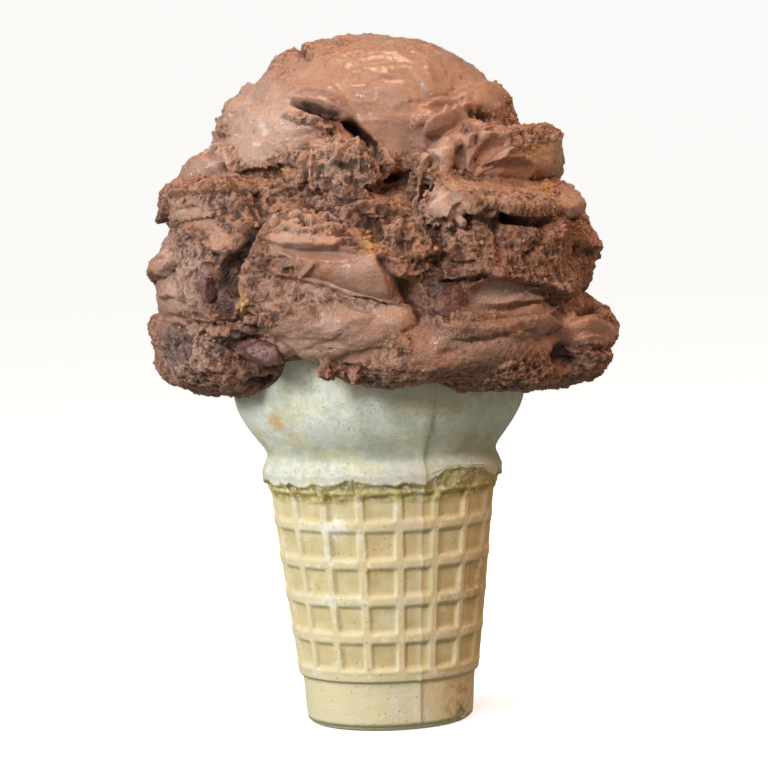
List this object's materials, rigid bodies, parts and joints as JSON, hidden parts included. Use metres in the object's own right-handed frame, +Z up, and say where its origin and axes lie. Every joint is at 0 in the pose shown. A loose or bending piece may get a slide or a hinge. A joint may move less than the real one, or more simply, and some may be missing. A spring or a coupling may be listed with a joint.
{
  "type": "ice cream cone",
  "caption": "Heaped chocolate ice cream with fudge pieces on a flat-bottomed, waffle-patterned cake cone that stands by itself.",
  "frame": {"origin": "middle of the cone's flat base, on the surface that it stands on", "axes": "+Z up along the cone, the front of the scoops towards -Y, +X to the right as seen from the front"},
  "size_m": [0.0956, 0.0944, 0.1429],
  "materials": {
    "wafer": "matt baked wafer",
    "ice_cream_lower": "softly moist, torn and porous",
    "ice_cream_upper": "softly moist, smoothed by the scoop",
    "fudge": "satin"
  },
  "bodies": {
    "root": {"wafer_cup": "wafer", "lower_scoop": "ice_cream_lower", "upper_scoop": "ice_cream_upper", "fudge_chunk_left": "fudge", "fudge_chunk_middle": "fudge", "fudge_chunk_low": "fudge"}
  },
  "joints": []
}
